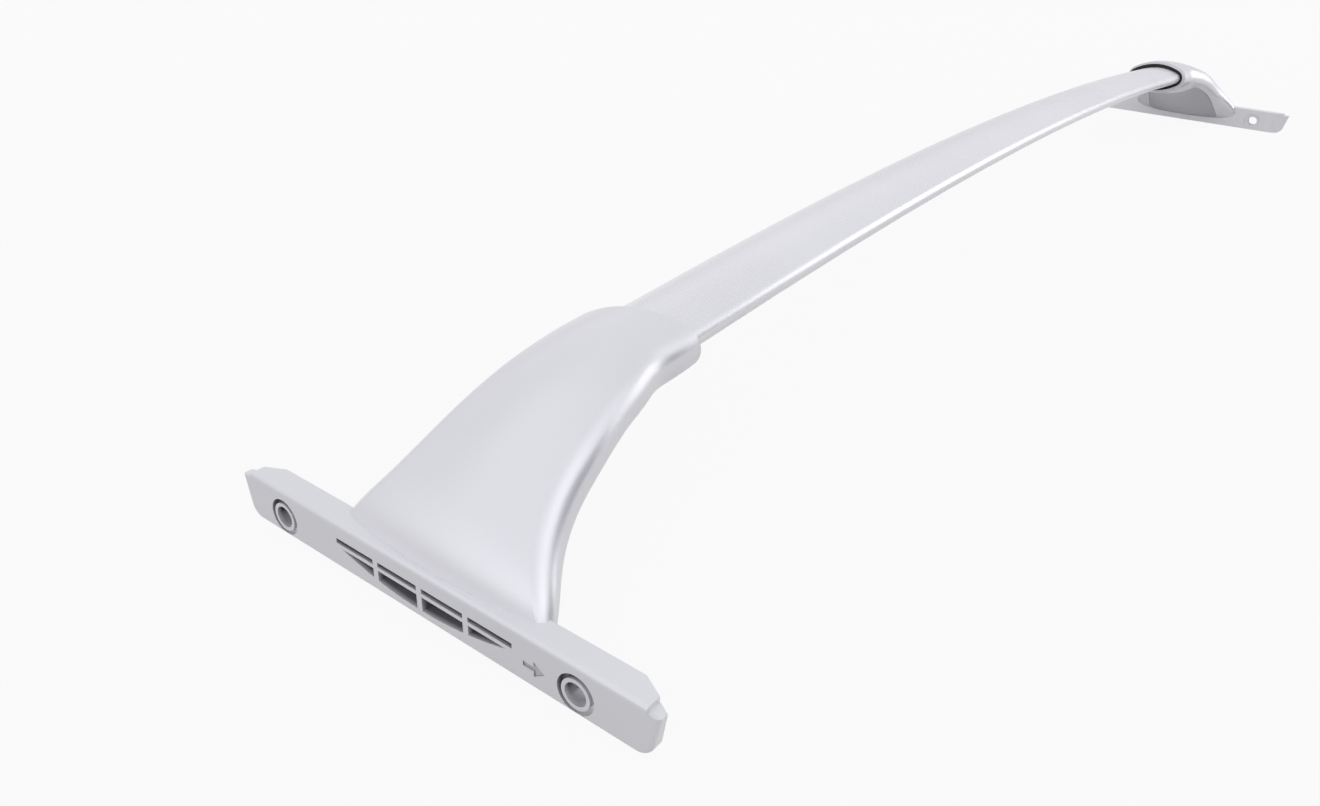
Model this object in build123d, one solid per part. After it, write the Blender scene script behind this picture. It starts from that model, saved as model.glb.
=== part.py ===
from build123d import *
import math
import os

# Roof rack crossbar: an arched hollow bar held between two cast feet that bolt to the roof rails.
# X runs along the bar, Y fore and aft with the bar's nose at -Y, and Z up.
# z = 0 is the underside of the two bolt flanges, and x = 0 is the middle of the bar. Sizes are in mm.
# A setback is a distance inboard from the outer face of the flange. The left end, at -X, is drawn,
# and the right end is its mirror image.

# Overall: the roof rails' inner faces, which the two flanges bear on
RAIL_SPAN = 1050.0

# Bar: a hollow lens section with two webs, rolled to one large radius
BAR_WIDTH = 44.0
BAR_THICKNESS = 18.0
BAR_NOSE_RADIUS = 4.5
BAR_WALL = 2.0
BAR_WEB = 1.8
BAR_CHAMBER = 15.0  # clear width of the middle chamber
BAR_ARCH_RADIUS = 5440.0
BAR_AXIS_HEIGHT = 70.0  # bar's centre at mid-span, above the flanges' underside
BAR_OFFSET = 10.5  # bar's centre from the flanges' middle, along +Y
BAR_TILT = 4.5  # nose up, in degrees
BAR_END_SETBACK = 80.0

# Gasket in the sleeve's mouth, and the sleeve around it
GASKET_WALL = 2.4
GASKET_DEPTH = 6.0
GASKET_PROUD = 0.8
GASKET_GAP = 0.3
GASKET_SHIFT = 1.2  # outline moved towards the tail, where the gasket is thicker
SLEEVE_LIP = 2.2  # casting outside the gasket
SOCKET_CLEARANCE = 0.4
MOUTH_SETBACK = 124.0  # on the bar's centre line
MOUTH_SKEW = 13.0  # mouth's turn in plan, nose side further inboard, in degrees

# Leg of the foot, from its root in the flange to the straight sleeve
LEG_LENGTH = 105.0  # setback at which the sleeve starts
LEG_ROOT_HALF_WIDTH = 46.75
LEG_ROOT_OFFSET = -1.75  # root's middle from the flange's middle, along +Y
LEG_SKIN = 4.0

# Bolt flange: a trapezium in side view, with the inboard end corners cut back in plan
FLANGE_TOP_LENGTH = 195.0
FLANGE_BOTTOM_LENGTH = 188.0
FLANGE_HEIGHT = 18.8
FLANGE_THICKNESS = 10.4
FLANGE_CORNER_RADIUS = 6.0
FLANGE_EDGE_RADIUS = 1.6
END_CUT_LENGTH = 13.0
END_CUT_RIM = 3.5  # flange thickness left at its ends
END_NOTCH_DEPTH = 1.8  # at the top corner of each end
END_NOTCH_LENGTH = 5.0

# Bolt holes through the flange, each in a boss inside a round groove
BOLT_SPACING = 140.0
BOLT_OFFSET = 3.4  # middle of the two holes from the flange's middle, along +Y
BOLT_HEIGHT = 8.0
BOLT_HOLE_DIAMETER = 8.4
BOLT_BOSS_DIAMETER = 11.2
BOLT_GROOVE_DIAMETER = 14.4
BOLT_GROOVE_DEPTH = 2.0
BOLT_SEAT_DEPTH = 1.5

# Pockets in the flange's outer face: a row of slots over a row of pockets with an arched floor
POCKET_COUNT = 4
POCKET_WIDTH = 19.2
POCKET_WEB = 2.4
POCKET_OFFSET = 1.0
SLOT_TOP = 12.9
SLOT_HEIGHT = 2.0
SLOT_DEPTH = 8.0
SLOT_RIB = 1.5  # between a slot and the pocket below it
POCKET_FLOOR = 3.6
POCKET_ARCH_RADIUS = 138.0
POCKET_DEPTH = 7.0
POCKET_TAPER = 4.0

# Arrow sunk in the flange's outer face, which points to the front
ARROW_OFFSET = -50.0
ARROW_LENGTH = 9.0
ARROW_HEIGHT = 6.0
ARROW_SHAFT = 2.0
ARROW_DEPTH = 0.5

# Cover on the leg's inboard side, let in flush and held by two push-in posts
COVER_THICKNESS = 2.5
COVER_GAP = 0.3
COVER_LEDGE = 4.0
COVER_CORNER_RADIUS = 3.0
COVER_TOP_SETBACK = 85.0
COVER_TOP_OFFSET = 6.5
COVER_TOP_HALF_WIDTH = 24.0
COVER_FOOT_SETBACK = 12.0
COVER_FOOT_OFFSET = -1.0
COVER_FOOT_HALF_WIDTH = 33.0
POST_SETBACKS = (42.0, 66.0)
POST_DIAMETER = 5.0
POST_LENGTH = 8.0
POST_CLEARANCE = 0.3
BOSS_WALL = 2.4

# Screws that hold the bar, and the threaded plate in its middle chamber
SCREW_SETBACK = 94.0
SCREW_PITCH = 16.0
SCREW_DIAMETER = 6.0
SCREW_HEAD_DIAMETER = 11.5
SCREW_HEAD_SINK = 0.4
SCREW_END_OVER_PLATE = 0.8
SCREW_HOLE_CLEARANCE = 0.3
SCREW_SOCKET_FLATS = 4.0
SCREW_SOCKET_DEPTH = 2.0
THREAD_GAP = 0.1
NUT_PLATE_THICKNESS = 6.0
NUT_PLATE_WIDTH = 13.0
NUT_PLATE_END = 11.0  # plate past each screw
NUT_PLATE_GAP = 0.15

FLANGE_FACE_X = -RAIL_SPAN / 2
SLEEVE_OFFSET = 2 * GASKET_GAP + GASKET_WALL + SLEEVE_LIP
SLEEVE_HALF_WIDTH = BAR_WIDTH / 2 + SLEEVE_OFFSET
ARCH_CENTRE_HEIGHT = BAR_AXIS_HEIGHT - BAR_ARCH_RADIUS
ARCH_AXIS = Axis((0, 0, ARCH_CENTRE_HEIGHT), (0, 1, 0))
FAR = 400.0  # reach of a cutting block past what it trims


def inboard(setback):
    """The x of a setback at the left end."""
    return FLANGE_FACE_X + setback


def lens_radius(nose_x, depth, nose_radius):
    """Radius of a flat arc of this depth that touches a nose with its centre at nose_x."""
    return (nose_x**2 + depth**2 - nose_radius**2) / (2 * (depth - nose_radius))


def lens(half_width, upper, lower, nose_radius):
    """Lens face: two flat arcs, upper and lower from the nose line, joined by two round noses."""
    nose_x = half_width - nose_radius

    def tangent_point(depth):
        arc_radius = lens_radius(nose_x, depth, nose_radius)
        lean = math.atan2(nose_x, arc_radius - depth)
        return nose_x + nose_radius * math.sin(lean), nose_radius * math.cos(lean)

    upper_x, upper_y = tangent_point(upper)
    lower_x, lower_y = tangent_point(lower)
    edges = [
        ThreePointArc((-upper_x, upper_y), (0, upper), (upper_x, upper_y)),
        ThreePointArc((upper_x, upper_y), (half_width, 0), (lower_x, -lower_y)),
        ThreePointArc((lower_x, -lower_y), (0, -lower), (-lower_x, -lower_y)),
        ThreePointArc((-lower_x, -lower_y), (-half_width, 0), (-upper_x, upper_y)),
    ]
    return Face(Wire(edges))


def arch_angle(x):
    return math.degrees(math.asin(x / BAR_ARCH_RADIUS))


def station(x):
    """The bar's own frame at x: x along the bar, y across it, z through its thickness."""
    on_arch = Pos(0, 0, ARCH_CENTRE_HEIGHT) * Rot(Y=arch_angle(x)) * Pos(0, 0, BAR_ARCH_RADIUS)
    return on_arch * Pos(0, BAR_OFFSET, 0) * Rot(X=-BAR_TILT)


def along_arch(section, x_start, x_end):
    """A section drawn across the bar, carried along the arch."""
    start = station(x_start) * (Plane.YZ * section)
    return revolve(start, ARCH_AXIS, arch_angle(x_end) - arch_angle(x_start))


def bar_lens(offset):
    """The bar's outline, grown by an offset."""
    half_thickness = BAR_THICKNESS / 2 + offset
    return lens(BAR_WIDTH / 2 + offset, half_thickness, half_thickness, BAR_NOSE_RADIUS + offset)


def block(x_start, x_end, y_start, y_end, z_start, z_end):
    size = Box(x_end - x_start, y_end - y_start, z_end - z_start)
    return Pos((x_start + x_end) / 2, (y_start + y_end) / 2, (z_start + z_end) / 2) * size


def upright(radius, length):
    return Cylinder(radius, length, align=(Align.CENTER, Align.CENTER, Align.MIN))


# Bar

def make_crossbar():
    chambers = bar_lens(-BAR_WALL)
    for side in (-1, 1):
        web_y = side * (BAR_CHAMBER + BAR_WEB) / 2
        chambers -= Pos(web_y, 0) * Rectangle(BAR_WEB, BAR_THICKNESS)
    section = bar_lens(0) - chambers
    bar = along_arch(section, inboard(BAR_END_SETBACK), -inboard(BAR_END_SETBACK))
    for hole in screw_places():
        bar -= hole * screw_hole()
        bar -= mirror(hole * screw_hole(), about=Plane.YZ)
    return bar


# Screws and threaded plate

SCREW_HEAD_FACE = -(BAR_THICKNESS / 2 + SLEEVE_OFFSET - SCREW_HEAD_SINK)
CHAMBER_FLOOR = -(BAR_THICKNESS / 2 - BAR_WALL)
SCREW_HEAD_HEIGHT = (SCREW_HEAD_DIAMETER - SCREW_DIAMETER) / 2
SCREW_TIP = CHAMBER_FLOOR + NUT_PLATE_THICKNESS + SCREW_END_OVER_PLATE


def screw_places():
    return [station(inboard(SCREW_SETBACK + number * SCREW_PITCH)) for number in range(2)]


def screw_body(clearance):
    """Countersunk shape, from the head's face up to the tip, grown by a clearance."""
    shank_radius = SCREW_DIAMETER / 2 + clearance
    shank = upright(shank_radius, SCREW_TIP - SCREW_HEAD_FACE)
    head_radius = SCREW_HEAD_DIAMETER / 2 + clearance
    head = Cone(head_radius, shank_radius, SCREW_HEAD_HEIGHT, align=(Align.CENTER, Align.CENTER, Align.MIN))
    return Pos(0, 0, SCREW_HEAD_FACE) * (shank + head)


def screw_hole():
    """Clearance for a screw, open below the head."""
    way_in_radius = SCREW_HEAD_DIAMETER / 2 + SCREW_HOLE_CLEARANCE
    way_in = Cylinder(way_in_radius, BAR_THICKNESS, align=(Align.CENTER, Align.CENTER, Align.MAX))
    return screw_body(SCREW_HOLE_CLEARANCE) + Pos(0, 0, SCREW_HEAD_FACE) * way_in


def make_bar_screws():
    socket = extrude(RegularPolygon(SCREW_SOCKET_FLATS / 2, 6, major_radius=False), SCREW_SOCKET_DEPTH)
    screw = screw_body(0) - Pos(0, 0, SCREW_HEAD_FACE) * socket
    return Compound(children=[place * screw for place in screw_places()])


def make_nut_plate():
    middle = station(inboard(SCREW_SETBACK + SCREW_PITCH / 2))
    length = SCREW_PITCH + 2 * NUT_PLATE_END
    top = CHAMBER_FLOOR + NUT_PLATE_THICKNESS
    blank = block(-length / 2, length / 2, -NUT_PLATE_WIDTH / 2, NUT_PLATE_WIDTH / 2, -BAR_THICKNESS, top)
    chamber = extrude(Plane.YZ * bar_lens(-BAR_WALL - NUT_PLATE_GAP), length, both=True)
    plate = middle * (blank & chamber)
    for place in screw_places():
        plate -= place * Cylinder(SCREW_DIAMETER / 2 + THREAD_GAP, 4 * BAR_THICKNESS)
    return plate


# Foot: flange, swept leg and sleeve in one casting

# Each row is one cross-section of the leg, from the root up. Outer and inner are the points on the
# outboard skin and on the belly: a share of the leg's length, and a share of the height (outer from the
# flange's top to the sleeve's crown, inner from the underside to the sleeve's floor). Width and shift
# go from 0 at the sleeve to 1 at the root. Nose radius and crown, the rise of the outer arc over the
# noses, are in mm, and tilt is a share of the bar's tilt.
LEG_ROWS = [
    # outer, inner, width, shift, nose radius, crown, tilt
    ((0.022, -0.208), (0.090, 0.120), 1.02, 0.97, 1.5, 3.6, 0.0),
    ((0.036, 0.052), (0.229, 0.278), 1.02, 0.94, 5.0, 3.6, 0.0),
    ((0.142, 0.326), (0.352, 0.430), 0.64, 0.82, 8.0, 3.2, 0.1),
    ((0.317, 0.579), (0.505, 0.606), 0.36, 0.64, 9.2, 3.2, 0.3),
    ((0.464, 0.736), (0.638, 0.762), 0.26, 0.52, 9.6, 3.6, 0.55),
    ((0.680, 0.890), (0.815, 0.905), 0.14, 0.30, 9.8, 4.0, 0.80),
    ((0.850, 0.960), (0.920, 0.968), 0.07, 0.13, 9.8, 4.2, 0.95),
]
SLEEVE_SECTIONS = 5
SLEEVE_OVERRUN = 22.0  # sleeve drawn past the mouth, then cut off by it


def sleeve_height(side):
    """Height of the sleeve's crown (side 1) or floor (side -1) where the leg joins it."""
    edge = station(inboard(LEG_LENGTH)) * Pos(0, 0, side * (BAR_THICKNESS / 2 + SLEEVE_OFFSET))
    return edge.position.Z


def leg_frame(row):
    """Where a section of the leg lies, and its half-width, upper and lower depth and nose radius."""
    (outer_x, outer_z), (inner_x, inner_z), width, shift, nose_radius, crown, tilt = row
    outer = Vector(inboard(outer_x * LEG_LENGTH), 0, FLANGE_HEIGHT)
    outer += Vector(0, 0, outer_z * (sleeve_height(1) - FLANGE_HEIGHT))
    inner = Vector(inboard(inner_x * LEG_LENGTH), 0, inner_z * sleeve_height(-1))
    outward = (outer - inner).normalized()
    upper = nose_radius + crown
    lower = (outer - inner).length - upper
    half_width = SLEEVE_HALF_WIDTH + width * (LEG_ROOT_HALF_WIDTH - SLEEVE_HALF_WIDTH)
    across = Vector(0, 1, 0)
    middle_y = BAR_OFFSET + shift * (LEG_ROOT_OFFSET - BAR_OFFSET)
    plane = Plane(outer - outward * upper + across * middle_y, x_dir=across, z_dir=across.cross(outward))
    return plane.location * Rot(Z=-tilt * BAR_TILT), (half_width, upper, lower, nose_radius)


def sleeve_frame(setback):
    place = station(inboard(setback)) * Plane.YZ.location
    half_thickness = BAR_THICKNESS / 2 + SLEEVE_OFFSET
    return place, (SLEEVE_HALF_WIDTH, half_thickness, half_thickness, BAR_NOSE_RADIUS + SLEEVE_OFFSET)


def leg_loft(rows, draw):
    """Leg and sleeve as one form, through the section that draw makes in each frame."""
    frames = [leg_frame(row) for row in rows]
    step = (MOUTH_SETBACK + SLEEVE_OVERRUN - LEG_LENGTH) / (SLEEVE_SECTIONS - 1)
    frames += [sleeve_frame(LEG_LENGTH + number * step) for number in range(SLEEVE_SECTIONS)]
    return loft([place * draw(*sizes) for place, sizes in frames])


def core_lens(half_width, upper, lower, nose_radius):
    """A section of the leg without its skin."""
    return lens(half_width - LEG_SKIN, upper - LEG_SKIN, lower, nose_radius - LEG_SKIN)


def above_belly(thickness):
    """Draws what lies more than a thickness above the belly of a section, and past the outer skin."""

    def draw(half_width, upper, lower, nose_radius):
        nose_x = half_width - nose_radius
        belly_radius = lens_radius(nose_x, lower, nose_radius)
        radius = belly_radius - thickness
        bottom = thickness - lower
        corner_y = bottom + radius - math.sqrt(radius**2 - half_width**2)
        top = upper + LEG_SKIN
        arc = ThreePointArc((-half_width, corner_y), (0, bottom), (half_width, corner_y))
        right_side = [(half_width, corner_y), (half_width, top)]
        left_side = [(-half_width, top), (-half_width, corner_y)]
        return Face(Wire([arc, *Polyline(*right_side, *left_side).edges()]))

    return draw


def make_flange():
    half_top = FLANGE_TOP_LENGTH / 2
    half_bottom = FLANGE_BOTTOM_LENGTH / 2
    corners = [(-half_bottom, 0), (half_bottom, 0), (half_top, FLANGE_HEIGHT), (-half_top, FLANGE_HEIGHT)]
    side_view = make_face(Polyline(*corners, close=True))
    side_view = fillet(side_view.vertices().sort_by(Axis.Y)[:2], FLANGE_CORNER_RADIUS)
    flange = Pos(FLANGE_FACE_X, 0, 0) * extrude(Plane.YZ * side_view, FLANGE_THICKNESS)
    outer_edges = flange.faces().sort_by(Axis.X)[0].edges()
    flange = fillet(outer_edges, FLANGE_EDGE_RADIUS)
    for side in (-1, 1):
        cut = [
            (inboard(FLANGE_THICKNESS), side * (half_top - END_CUT_LENGTH)),
            (inboard(END_CUT_RIM), side * half_top),
            (inboard(FLANGE_THICKNESS), side * half_top),
        ]
        flange -= extrude(make_face(Polyline(*cut, close=True)), FLANGE_HEIGHT)
        notch_y = sorted((side * half_top, side * (half_top - END_NOTCH_LENGTH)))
        notch_z = (FLANGE_HEIGHT - END_NOTCH_DEPTH, FLANGE_HEIGHT + END_NOTCH_DEPTH)
        flange -= block(inboard(0), inboard(FLANGE_THICKNESS), *notch_y, *notch_z)
    return flange


def past_mouth(shift):
    """Everything past the mouth, with the mouth moved outward by a shift."""
    mouth = station(inboard(MOUTH_SETBACK)) * Rot(Z=MOUTH_SKEW)
    return mouth * block(shift, FAR, -FAR, FAR, -FAR, FAR)


def outer_face(offset, height):
    """A frame on the flange's outer face, looking inboard: x along Y, y up."""
    return Plane((FLANGE_FACE_X, offset, height), x_dir=(0, 1, 0), z_dir=(1, 0, 0))


def bolt_offsets():
    return [BOLT_OFFSET - BOLT_SPACING / 2, BOLT_OFFSET + BOLT_SPACING / 2]


def make_bolt_cuts():
    cuts = []
    for offset in bolt_offsets():
        face = outer_face(offset, BOLT_HEIGHT)
        ring = Circle(BOLT_GROOVE_DIAMETER / 2) - Circle(BOLT_BOSS_DIAMETER / 2)
        cuts.append(extrude(face * ring, BOLT_GROOVE_DEPTH))
        cuts.append(extrude(face * Circle(BOLT_HOLE_DIAMETER / 2), FLANGE_THICKNESS + FAR))
        seat = face.offset(FLANGE_THICKNESS - BOLT_SEAT_DEPTH)
        cuts.append(extrude(seat * Circle(BOLT_GROOVE_DIAMETER / 2), LEG_LENGTH))
    return cuts


def make_pocket_cuts():
    pitch = POCKET_WIDTH + POCKET_WEB
    pocket_top = SLOT_TOP - SLOT_HEIGHT - SLOT_RIB
    floor = Pos(0, POCKET_FLOOR + POCKET_ARCH_RADIUS) * Circle(POCKET_ARCH_RADIUS)
    cuts = []
    for number in range(POCKET_COUNT):
        middle = (number - (POCKET_COUNT - 1) / 2) * pitch
        slot = Pos(middle, SLOT_TOP - SLOT_HEIGHT / 2) * Rectangle(POCKET_WIDTH, SLOT_HEIGHT)
        pocket = Pos(middle, pocket_top / 2) * Rectangle(POCKET_WIDTH, pocket_top)
        face = outer_face(POCKET_OFFSET, 0)
        cuts.append(extrude(face * slot, SLOT_DEPTH))
        cuts.append(extrude(face * (pocket & floor), POCKET_DEPTH, taper=POCKET_TAPER))
    return cuts


def make_arrow_cut():
    head = ARROW_LENGTH / 2
    outline = [
        (-head, 0),
        (0, ARROW_HEIGHT / 2),
        (0, ARROW_SHAFT / 2),
        (head, ARROW_SHAFT / 2),
        (head, -ARROW_SHAFT / 2),
        (0, -ARROW_SHAFT / 2),
        (0, -ARROW_HEIGHT / 2),
    ]
    arrow = make_face(Polyline(*outline, close=True))
    return extrude(outer_face(ARROW_OFFSET, BOLT_HEIGHT) * arrow, ARROW_DEPTH)


def cover_prism(grow):
    """The cover's outline in plan, grown sideways, as a tall block."""
    top_x = inboard(COVER_TOP_SETBACK)
    foot_x = inboard(COVER_FOOT_SETBACK)
    corners = [
        (foot_x, COVER_FOOT_OFFSET - COVER_FOOT_HALF_WIDTH),
        (top_x, COVER_TOP_OFFSET - COVER_TOP_HALF_WIDTH),
        (top_x, COVER_TOP_OFFSET + COVER_TOP_HALF_WIDTH),
        (foot_x, COVER_FOOT_OFFSET + COVER_FOOT_HALF_WIDTH),
    ]
    outline = make_face(Polyline(*corners, close=True))
    outline = fillet(outline.vertices(), COVER_CORNER_RADIUS)
    if grow:
        outline = offset(outline, grow)
    return extrude(outline, FAR, both=True)


def belly_shell(leg, thickness, grow):
    """The layer of the leg's belly inside the cover's outline."""
    return (leg & cover_prism(grow)) - leg_loft(LEG_ROWS, above_belly(thickness))


def belly_height(setback):
    """Height of the leg's belly at a setback, along its middle."""
    points = [(inner_x * LEG_LENGTH, inner_z * sleeve_height(-1)) for _, (inner_x, inner_z), *_ in LEG_ROWS]
    points.append((LEG_LENGTH, sleeve_height(-1)))
    for (x_start, z_start), (x_end, z_end) in zip(points, points[1:]):
        if x_start <= setback <= x_end:
            return z_start + (z_end - z_start) * (setback - x_start) / (x_end - x_start)


def post_places():
    """Where the cover's posts stand, on the cover's middle line."""
    places = []
    for setback in POST_SETBACKS:
        share = (setback - COVER_FOOT_SETBACK) / (COVER_TOP_SETBACK - COVER_FOOT_SETBACK)
        middle = COVER_FOOT_OFFSET + share * (COVER_TOP_OFFSET - COVER_FOOT_OFFSET)
        places.append(Pos(inboard(setback), middle, belly_height(setback)))
    return places


def make_cavity():
    """The hollow of the leg behind the cover, with the posts' bosses left standing in it."""
    hollow = leg_loft(LEG_ROWS[1:], core_lens) & cover_prism(-COVER_LEDGE)
    sleeve_floor = along_arch(bar_lens(SOCKET_CLEARANCE + LEG_SKIN), socket_end() - LEG_SKIN, 0)
    hollow -= sleeve_floor
    for place in post_places():
        hollow -= place * upright(POST_DIAMETER / 2 + POST_CLEARANCE + BOSS_WALL, FAR)
    return hollow


def socket_end():
    return inboard(BAR_END_SETBACK - SOCKET_CLEARANCE)


def gasket_lens(grow):
    """The gasket's outer outline, grown all round."""
    return Pos(GASKET_SHIFT, 0) * bar_lens(GASKET_GAP + GASKET_WALL + grow)


def make_foot():
    leg = leg_loft(LEG_ROWS, lens)
    foot = make_flange() + leg
    foot -= past_mouth(0)
    foot -= along_arch(bar_lens(SOCKET_CLEARANCE), socket_end(), 0)
    recess = along_arch(gasket_lens(GASKET_GAP), socket_end(), 0)
    foot -= recess & past_mouth(-GASKET_DEPTH)
    foot -= belly_shell(leg, COVER_THICKNESS + COVER_GAP, COVER_GAP)
    foot -= make_cavity()
    for place in post_places():
        bore = upright(POST_DIAMETER / 2 + POST_CLEARANCE, COVER_THICKNESS + POST_LENGTH + POST_CLEARANCE)
        foot -= place * bore
    for place in screw_places():
        foot -= place * screw_hole()
    foot -= make_bolt_cuts()
    foot -= make_pocket_cuts()
    foot -= make_arrow_cut()
    return foot


def make_gasket():
    ring = along_arch(gasket_lens(0), socket_end(), 0)
    ring -= along_arch(bar_lens(GASKET_GAP), socket_end(), 0)
    return (ring & past_mouth(-GASKET_DEPTH)) - past_mouth(GASKET_PROUD)


def make_inner_cover():
    cover = belly_shell(leg_loft(LEG_ROWS, lens), COVER_THICKNESS, 0)
    for place in post_places():
        cover += place * Pos(0, 0, COVER_THICKNESS / 2) * upright(POST_DIAMETER / 2, POST_LENGTH)
    return cover


os.makedirs("parts", exist_ok=True)
export_step(make_crossbar(), "parts/crossbar.step")
left_pieces = {
    "foot": make_foot(),
    "gasket": make_gasket(),
    "inner_cover": make_inner_cover(),
    "bar_screws": make_bar_screws(),
    "nut_plate": make_nut_plate(),
}
for name, piece in left_pieces.items():
    export_step(piece, f"parts/left_{name}.step")
    export_step(mirror(piece, about=Plane.YZ), f"parts/right_{name}.step")
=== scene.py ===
import bmesh
import bpy
import math
from mathutils import Matrix, Vector


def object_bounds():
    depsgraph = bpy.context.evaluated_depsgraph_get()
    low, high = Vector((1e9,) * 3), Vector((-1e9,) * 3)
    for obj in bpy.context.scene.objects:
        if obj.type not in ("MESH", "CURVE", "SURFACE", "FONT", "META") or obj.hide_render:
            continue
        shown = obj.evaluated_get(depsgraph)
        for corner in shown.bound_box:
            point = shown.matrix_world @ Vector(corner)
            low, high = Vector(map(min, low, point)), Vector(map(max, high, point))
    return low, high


# Roof rack crossbar, dressed over its solids. Lengths are in metres, in the frame of the solids:
# X along the bar, -Y towards its nose, Z up from the underside of the two bolt flanges.

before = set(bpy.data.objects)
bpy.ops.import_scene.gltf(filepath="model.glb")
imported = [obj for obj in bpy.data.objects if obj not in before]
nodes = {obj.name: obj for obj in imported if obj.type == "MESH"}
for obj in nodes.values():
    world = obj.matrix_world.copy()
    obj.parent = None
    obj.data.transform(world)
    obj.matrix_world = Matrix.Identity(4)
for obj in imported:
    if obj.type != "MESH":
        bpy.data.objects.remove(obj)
cad_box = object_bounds()


# Crossbar: an aluminium extrusion of lens section, rolled to a long arch and powder coated in a satin
# silver with fine metal flake. The coat is smooth along the bar and shows a soft, even sheen.

class Shade:
    """A socket among a finish's nodes, used in arithmetic as a number. Without one it only adds nodes."""

    def __init__(self, tree, socket=None):
        self.tree = tree
        self.socket = socket

    def node(self, kind, settings, sockets, output=0):
        """Adds a node with its settings first, then the values or links of its sockets."""
        made = self.tree.nodes.new(kind)
        for name, value in settings.items():
            if name == "stops":
                while len(made.color_ramp.elements) < len(value):
                    made.color_ramp.elements.new(1.0)
                for stop, (place, colour) in zip(made.color_ramp.elements, value):
                    stop.position = place
                    stop.color = colour
            else:
                setattr(made, name, value)
        for name, value in sockets.items():
            if isinstance(value, Shade):
                self.tree.links.new(value.socket, made.inputs[name])
            else:
                made.inputs[name].default_value = value
        return Shade(self.tree, made.outputs[output])

    def math(self, operation, first, second=0.0):
        """Adds a Math node. An operation on one number leaves out the second."""
        return self.node("ShaderNodeMath", {"operation": operation}, {0: first, 1: second})

    def __add__(self, other):
        return self.math("ADD", self, other)

    def __radd__(self, other):
        return self.math("ADD", other, self)

    def __sub__(self, other):
        return self.math("SUBTRACT", self, other)

    def __rsub__(self, other):
        return self.math("SUBTRACT", other, self)

    def __mul__(self, other):
        return self.math("MULTIPLY", self, other)

    def __rmul__(self, other):
        return self.math("MULTIPLY", other, self)


def new_finish(name, constants):
    """A material with its surface shader, the shader's even values set, and its Object coordinates."""
    finish = bpy.data.materials.new(name)
    finish.use_nodes = True
    surface = finish.node_tree.nodes["Principled BSDF"]
    for socket, value in constants.items():
        surface.inputs[socket].default_value = value
    place = Shade(finish.node_tree).node("ShaderNodeTexCoord", {}, {}, "Object")
    return finish, surface, place


def feed(receiver, links):
    """Links what changes from place to place into a node."""
    for socket, value in links.items():
        value.tree.links.new(value.socket, receiver.inputs[socket])


FINER_GRAIN = 0.55  # how strong each finer layer of a noise is, against the one before


def grain(place, scale, detail):
    """Soft noise from 0 to 1, with scale features to the metre."""
    sockets = {"Vector": place, "Scale": scale, "Detail": detail, "Roughness": FINER_GRAIN}
    return place.node("ShaderNodeTexNoise", {}, sockets)


def flake(place, scale):
    """A random number from 0 to 1 for each metal flake in the paint, with scale flakes to the metre."""
    colour = place.node("ShaderNodeTexVoronoi", {}, {"Vector": place, "Scale": scale}, "Color")
    return place.node("ShaderNodeSeparateColor", {}, {"Color": colour})


def shared(share, first, second):
    """Two noises added, with this share of the first."""
    return first * share + second * (1 - share)


def spread(noise, width):
    """A noise from 0 to 1, centred on 0 and this wide."""
    return (noise - 0.5) * width


def tint(factor, first, second):
    """A colour between two, by a factor from 0 to 1.

    A Mix node takes its colours at sockets 6 and 7, and gives one at output 2."""
    return factor.node("ShaderNodeMix", {"data_type": "RGBA"}, {0: factor, 6: first, 7: second}, 2)


def relief(height, depth, strength=1.0):
    """Bumps too fine to model, from heights of 0 to 1 that stand for this depth."""
    return height.node("ShaderNodeBump", {}, {"Height": height, "Distance": depth, "Strength": strength})


PAINT_SHEEN = {"Metallic": 0.42, "Specular IOR Level": 0.3}
PAINT_FLAKE_SHARE = 0.15  # of the change in tone, and a slow drift along the piece makes the rest
PAINT_FLAKE_GLOSS = 0.03  # how far the roughness differs from flake to flake
PAINT_DRIFT_GLOSS = 0.05  # how far it drifts along the piece


def silver_paint(name, dark, light, roughness, flake_size, peel_height, toned=None):
    """Satin silver paint: flakes that differ in tone and gloss, over a faint orange peel.

    Where toned is given, it takes a place and the paint's colour there, and gives the colour to use."""
    finish, surface, place = new_finish(name, PAINT_SHEEN)
    flakes = flake(place, scale=1 / flake_size)
    drift = grain(place, scale=9, detail=3)
    peel = grain(place, scale=450, detail=2)
    colour = tint(shared(PAINT_FLAKE_SHARE, flakes, drift), dark, light)
    if toned:
        colour = toned(place, colour)
    feed(surface, {
        "Base Color": colour,
        "Roughness": roughness + spread(flakes, PAINT_FLAKE_GLOSS) + spread(drift, PAINT_DRIFT_GLOSS),
        "Normal": relief(peel, depth=peel_height),
    })
    return finish


nodes["crossbar"].material_slots[0].material = silver_paint(
    "bar_silver",
    dark=(0.72, 0.72, 0.75, 1),
    light=(0.82, 0.82, 0.85, 1),
    roughness=0.28,
    flake_size=0.00015,
    peel_height=0.000002,
)


# Feet: two die-cast aluminium feet, each a swept leg with the bar's sleeve at its top and a bolt flange
# at its root. They are painted in the bar's silver over the casting's slightly grainier skin. Painted
# shade darkens the flanges' outer faces a little, and their pockets, slots, bolt grooves, holes and arrows
# more.

# the near-black grey of the painted shade on the flanges
PAINTED_SHADE_GREY = (0.035, 0.035, 0.04, 1)
FLANGE_FACE = cad_box[1][0]  # the flanges' outer faces, from the middle of the bar
FACE_PAINTED_SHADE = 0.12  # share of the painted shade's grey on a face
FACE_DEPTH = 0.0016  # depth at which the face's painted shade has gone
RECESS_DEPTHS = (0.0003, 0.0018)  # depths from which a recess gets painted shade, and at which the shade is full
SEAT_DEPTH = 0.0086  # depth at which the bolts' inner seats begin

# Middles and half sizes on a face are along Y and Z. The tones below are shares of painted shade.

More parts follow.
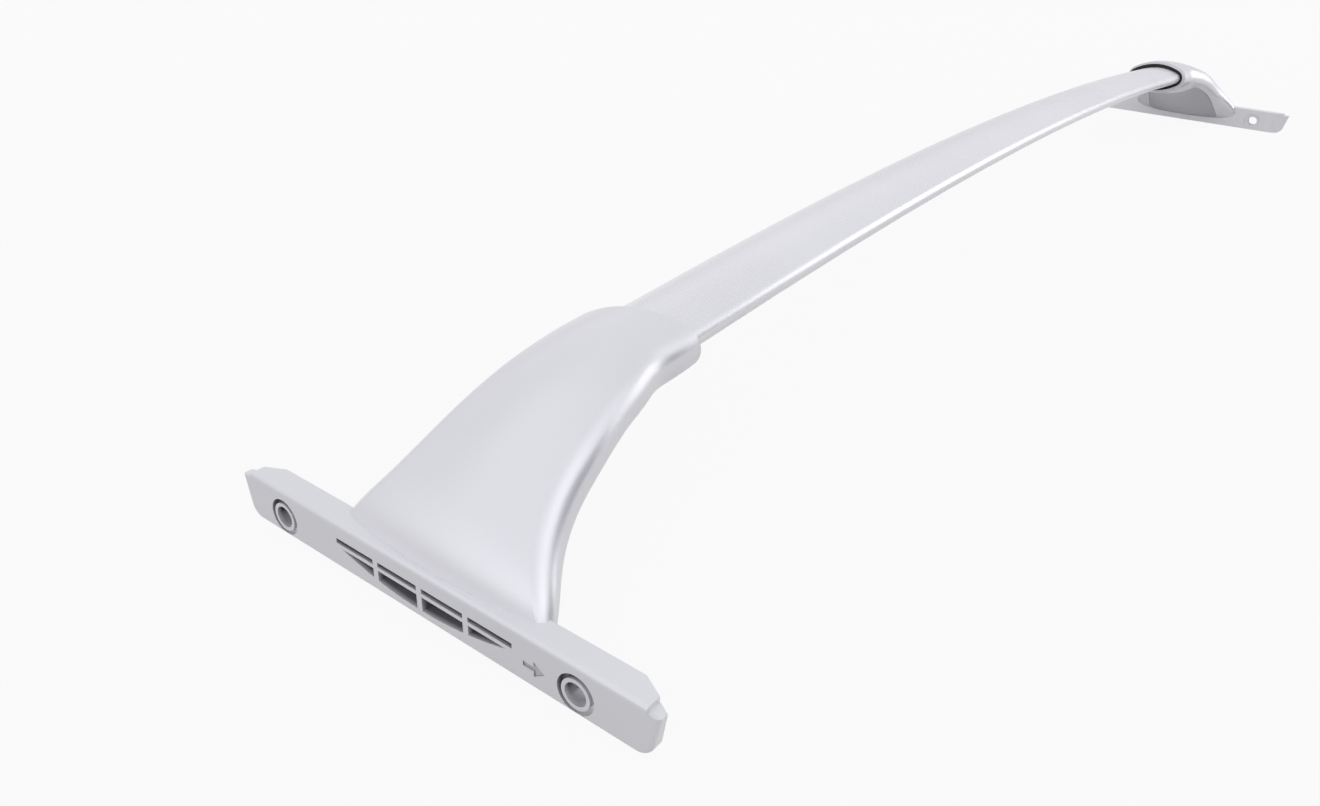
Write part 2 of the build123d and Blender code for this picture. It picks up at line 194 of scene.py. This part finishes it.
POCKET_MIDDLE = (0.001, 0.0082)
POCKET_HALF = (0.0425, 0.0054)
POCKET_PAINTED_SHADE = 0.72
SLOT_FOOT = (0.0097, 0.0109)  # heights between which a pocket's painted shade turns into its slot's fuller shade
BOLT_MIDDLE = (0.0034, 0.008)  # midway between the two bolts
BOLT_HALF_SPACING = 0.070
GROOVE_RADIUS = 0.0074
GROOVE_LEAN = 0.5  # how far the darker, painted-shade side of a groove leans up from the rear
GROOVE_FADE = (-0.004, 0.006)  # from the lighter side of a groove's painted shade to the darker
GROOVE_PAINTED_SHADE = 0.85
HOLE_RADIUS = 0.0044
HOLE_FADE = (-0.002, 0.003)  # from the lower half of a hole's painted shade to the darker upper half
HOLE_PAINTED_SHADE = 0.5
ARROW_MIDDLE = (-0.050, 0.008)
ARROW_HALF = (0.0055, 0.0035)
ARROW_DEPTHS = (0.0003, 0.001)
ARROW_PAINTED_SHADE = 0.3


def along_axes(place):
    """The X, Y and Z of a place."""
    return [place.node("ShaderNodeSeparateXYZ", {}, {"Vector": place}, axis) for axis in "XYZ"]


def flange_painted_shade(place):
    """Share of painted shade: a little on the flanges' outer faces, and up to 1 in their slots."""
    x, y, z = along_axes(place)

    def fade(value, span, tones):
        """A tone that runs from the first to the second while the value crosses the span."""
        ends = {"From Min": span[0], "From Max": span[1], "To Min": tones[0], "To Max": tones[1]}
        return place.node("ShaderNodeMapRange", {}, {"Value": value, **ends})

    def window(middle, half):
        """1 inside a rectangle on the face, and 0 outside it."""
        inside_y = place.math("LESS_THAN", place.math("ABSOLUTE", y - middle[0]), half[0])
        inside_z = place.math("LESS_THAN", place.math("ABSOLUTE", z - middle[1]), half[1])
        return inside_y * inside_z

    # Painted shade: a little on the outer faces, and more in the pockets, slots, upper rear of each
    # groove, upper half of each hole and the arrows.
    depth = FLANGE_FACE - place.math("ABSOLUTE", x)
    face = fade(depth, (0, FACE_DEPTH), (FACE_PAINTED_SHADE, 0))
    recess_shade = fade(depth, RECESS_DEPTHS, (0, 1)) * place.math("LESS_THAN", depth, SEAT_DEPTH)
    pockets = window(POCKET_MIDDLE, POCKET_HALF) * fade(z, SLOT_FOOT, (POCKET_PAINTED_SHADE, 1))

    bolt_side = place.math("SIGN", y - BOLT_MIDDLE[0])
    across = y - BOLT_MIDDLE[0] - bolt_side * BOLT_HALF_SPACING
    above = z - BOLT_MIDDLE[1]
    square_away = across * across + above * above
    grooves = fade(across + above * GROOVE_LEAN, GROOVE_FADE, (0, GROOVE_PAINTED_SHADE))
    grooves = grooves * place.math("LESS_THAN", square_away, GROOVE_RADIUS**2)
    holes = fade(above, HOLE_FADE, (0, HOLE_PAINTED_SHADE))
    holes = holes * place.math("LESS_THAN", square_away, HOLE_RADIUS**2)

    arrows = window(ARROW_MIDDLE, ARROW_HALF) * ARROW_PAINTED_SHADE
    arrows = arrows * place.math("GREATER_THAN", depth, ARROW_DEPTHS[0])
    arrows = arrows * place.math("LESS_THAN", depth, ARROW_DEPTHS[1])
    return place.math("MINIMUM", face + recess_shade * (pockets + grooves + holes) + arrows, 1)


def with_painted_shade(place, paint):
    """The paint's colour, with painted shade on the flanges' faces and in their recesses."""
    return tint(flange_painted_shade(place), paint, PAINTED_SHADE_GREY)


def dress_pair(piece, finish):
    """Gives a finish to the left and the right one of a piece."""
    for side in ("left_", "right_"):
        nodes[side + piece].material_slots[0].material = finish


dress_pair("foot", silver_paint(
    "foot_silver",
    dark=(0.68, 0.68, 0.71, 1),
    light=(0.78, 0.78, 0.81, 1),
    roughness=0.30,
    flake_size=0.00018,
    peel_height=0.000003,
    toned=with_painted_shade,
))


# Gaskets: moulded black rubber rings that close the gap between the bar and each sleeve's mouth.
# The rubber is matt, with the fine grain of a spark-eroded mould.

RUBBER_SHEEN = {"Specular IOR Level": 0.35}
RUBBER_DARK = (0.010, 0.010, 0.011, 1)
RUBBER_LIGHT = (0.026, 0.026, 0.027, 1)
RUBBER_ROUGHNESS = 0.62
BLOOM_ROUGHNESS = 0.2  # what a full grey bloom adds


def black_rubber():
    finish, surface, place = new_finish("gasket_black", RUBBER_SHEEN)
    mould = grain(place, scale=2500, detail=3)
    bloom = grain(place, scale=60, detail=4)
    feed(surface, {
        "Base Color": tint(bloom, RUBBER_DARK, RUBBER_LIGHT),
        "Roughness": RUBBER_ROUGHNESS + bloom * BLOOM_ROUGHNESS,
        "Normal": relief(mould, depth=0.00008, strength=0.6),
    })
    return finish


dress_pair("gasket", black_rubber())


# Inner covers: plastic mouldings pushed in on two posts, flush with the inboard side of each leg. They are
# painted in a silver darker than the castings, partly their own grey and partly painted shade of the
# inboard side, over a fine eroded texture.

COVER_SHEEN = {"Metallic": 0.45, "Specular IOR Level": 0.4}
# darker than the castings: partly the cover's own grey, partly painted shade of the inboard side
COVER_DARK_WITH_SHADE = (0.39, 0.39, 0.42, 1)
COVER_LIGHT_WITH_SHADE = (0.51, 0.51, 0.54, 1)
COVER_FLAKE_SHARE = 0.6  # of the change in tone, and the texture makes the rest
COVER_ROUGHNESS = 0.46
COVER_GLOSS = 0.16  # how far the roughness differs over the texture


def cover_silver():
    finish, surface, place = new_finish("cover_silver", COVER_SHEEN)
    flakes = flake(place, scale=1800)
    texture = grain(place, scale=1400, detail=3)
    feed(surface, {
        "Base Color": tint(shared(COVER_FLAKE_SHARE, flakes, texture), COVER_DARK_WITH_SHADE, COVER_LIGHT_WITH_SHADE),
        "Roughness": COVER_ROUGHNESS + spread(texture, COVER_GLOSS),
        "Normal": relief(texture, depth=0.00006, strength=0.5),
    })
    return finish


dress_pair("inner_cover", cover_silver())


# Bar screws: two countersunk steel screws at each end, which come up through the sleeve's floor and hold
# the bar. They are zinc plated, bright with a faint clouding.

ZINC_SHEEN = {"Metallic": 1.0}
ZINC_DARK = (0.42, 0.43, 0.44, 1)
ZINC_LIGHT = (0.62, 0.63, 0.65, 1)
ZINC_GLOSS = 0.2  # how far the roughness differs from cloud to cloud


def zinc_plate(name, roughness):
    finish, surface, place = new_finish(name, ZINC_SHEEN)
    cloud = grain(place, scale=220, detail=4)
    marks = grain(place, scale=3000, detail=2)
    feed(surface, {
        "Base Color": tint(cloud, ZINC_DARK, ZINC_LIGHT),
        "Roughness": roughness + spread(cloud, ZINC_GLOSS),
        "Normal": relief(marks, depth=0.00002, strength=0.4),
    })
    return finish


dress_pair("bar_screws", zinc_plate("screw_zinc", roughness=0.30))


# Nut plates: one threaded steel plate at each end, in the bar's middle chamber, which the two screws pull
# down on the bar's floor. They are zinc plated as the screws are, and a little duller.

dress_pair("nut_plate", zinc_plate("plate_zinc", roughness=0.38))


# Floor: a wide matt white sheet that the flanges stand on. The camera and reflections see it as white,
# and it keeps the shadow of the crossbar.

FLOOR_SIZE = 60.0
FLOOR_GAP = 0.0002  # under the flanges
FLOOR_MATT = {"Base Color": (0.3, 0.3, 0.3, 1), "Roughness": 0.9}
FLOOR_GLOW = {"Color": (1, 1, 1, 1), "Strength": 1.0}
FLOOR_GLOW_SHARE = 0.93  # of what is seen, and the rest is the matt sheet with its shadow


def white_floor():
    finish, surface, place = new_finish("floor_white", FLOOR_MATT)
    camera = place.node("ShaderNodeLightPath", {}, {}, "Is Camera Ray")
    glossy = place.node("ShaderNodeLightPath", {}, {}, "Is Glossy Ray")
    clear = place.node("ShaderNodeLightPath", {}, {}, "Is Transmission Ray")
    share = (camera + glossy + clear) * FLOOR_GLOW_SHARE
    matt = Shade(finish.node_tree, surface.outputs[0])
    glow = place.node("ShaderNodeEmission", {}, FLOOR_GLOW)
    mixed = place.node("ShaderNodeMixShader", {}, {0: share, 1: matt, 2: glow})
    feed(finish.node_tree.nodes["Material Output"], {"Surface": mixed})
    return finish


def sheet(name, placing, finish):
    """A flat sheet: a level square of one metre, which placing stretches, turns and moves."""
    shape = bmesh.new()
    bmesh.ops.create_grid(shape, x_segments=1, y_segments=1, size=0.5, matrix=placing)
    mesh = bpy.data.meshes.new(name)
    shape.to_mesh(mesh)
    shape.free()
    mesh.materials.append(finish)
    made = bpy.data.objects.new(name, mesh)
    bpy.context.scene.collection.objects.link(made)
    return made


floor_stretch = Matrix.Diagonal((FLOOR_SIZE, FLOOR_SIZE, 1, 1))
floor = sheet("floor", Matrix.Translation((0, 0, -FLOOR_GAP)) @ floor_stretch, white_floor())


# Studio light: a pale room, brightest high up in front, with a soft box beyond the right end. A black flag
# stands in front, and is mirrored as the dark band along the noses of the bar and the legs.

ROOM_BLUE = 1.03  # the blue of the pale walls, against their red and green
OVERHEAD = 0.000001  # keeps straight up from dividing by nothing


def surround():
    world = bpy.data.worlds.new("studio")
    world.use_nodes = True
    direction = Shade(world.node_tree).node("ShaderNodeTexCoord", {}, {}, "Generated")
    x, y, z = along_axes(direction)

    def wall(*levels):
        """Brightness of one wall, at even steps of height from the floor to overhead."""
        top = len(levels) - 1
        stops = [(step / top, (level, level, level * ROOM_BLUE, 1)) for step, level in enumerate(levels)]
        return z.node("ShaderNodeValToRGB", {"stops": stops}, {"Fac": z})

    front = wall(0.75, 0.8, 1.0, 2.05, 1.85, 0.95)
    back = wall(0.65, 0.75, 0.85, 0.7, 1.0, 0.95)
    left = wall(0.65, 0.75, 1.5, 1.5, 1.05, 0.95)
    right = wall(0.65, 0.7, 0.9, 0.7, 0.75, 0.95)
    ends = tint(x.math("GREATER_THAN", x, 0), left, right)
    sides = tint(y.math("GREATER_THAN", y, 0), front, back)
    along_bar = x.math("DIVIDE", x * x, x * x + y * y + OVERHEAD)
    feed(world.node_tree.nodes["Background"], {"Color": tint(along_bar, sides, ends)})
    return world


bpy.context.scene.world = surround()

SOFT_BOX_PLACE = Vector((2.1, -1.25, 0.62))
SOFT_BOX_AIM = Vector((-0.2, 0, 0.05))
SOFT_BOX_WIDTH = 1.4
SOFT_BOX_WATTS = 8

lamp = bpy.data.lights.new("soft_box", "AREA")
lamp.shape = "DISK"
lamp.size = SOFT_BOX_WIDTH
lamp.energy = SOFT_BOX_WATTS
soft_box = bpy.data.objects.new("soft_box", lamp)
soft_box.location = SOFT_BOX_PLACE
soft_box.rotation_euler = (SOFT_BOX_AIM - SOFT_BOX_PLACE).to_track_quat("-Z", "Y").to_euler()
soft_box.visible_camera = False
bpy.context.scene.collection.objects.link(soft_box)

FLAG_PLACE = (-1.0, -2.2, 0.6)
FLAG_WIDTH = 6.0
FLAG_HEIGHT = 1.3
FLAG_MATT = {"Base Color": (0.04, 0.04, 0.07, 1), "Roughness": 1.0}

flag_black = new_finish("flag_black", FLAG_MATT)[0]
flag_stand = Matrix.Rotation(math.radians(90), 4, "X") @ Matrix.Diagonal((FLAG_WIDTH, FLAG_HEIGHT, 1, 1))
flag = sheet("flag", Matrix.Translation(FLAG_PLACE) @ flag_stand, flag_black)
flag.visible_camera = False


# Camera: a hand-held view over the left end, fitted to the flanges' straight edges and bolt holes.
# Yaw turns from X towards Y, and a negative pitch looks down. Yaw, pitch and roll are in radians.

CAMERA_PLACE = (-0.6902, -0.2132, 0.2238)
CAMERA_YAW = 0.62986
CAMERA_PITCH = -0.49326
CAMERA_ROLL = 0.04124
CAMERA_LENS = 27.695  # millimetres, on a sensor 36 mm wide
CAMERA_NEAR = 0.01  # what is nearer isn't drawn

ahead = Vector((
    math.cos(CAMERA_YAW) * math.cos(CAMERA_PITCH),
    math.sin(CAMERA_YAW) * math.cos(CAMERA_PITCH),
    math.sin(CAMERA_PITCH),
))
level = Vector((math.sin(CAMERA_YAW), -math.cos(CAMERA_YAW), 0))
upright = level.cross(ahead)
right = math.cos(CAMERA_ROLL) * level + math.sin(CAMERA_ROLL) * upright
up = -math.sin(CAMERA_ROLL) * level + math.cos(CAMERA_ROLL) * upright
camera_data = bpy.data.cameras.new("camera")
camera_data.lens = CAMERA_LENS
camera_data.sensor_fit = "HORIZONTAL"
camera_data.clip_start = CAMERA_NEAR
camera = bpy.data.objects.new("camera", camera_data)
turn = Matrix((right, up, -ahead)).transposed().to_4x4()
camera.matrix_world = Matrix.Translation(CAMERA_PLACE) @ turn
bpy.context.scene.collection.objects.link(camera)
bpy.context.scene.camera = camera
bpy.context.scene.view_settings.view_transform = "Standard"
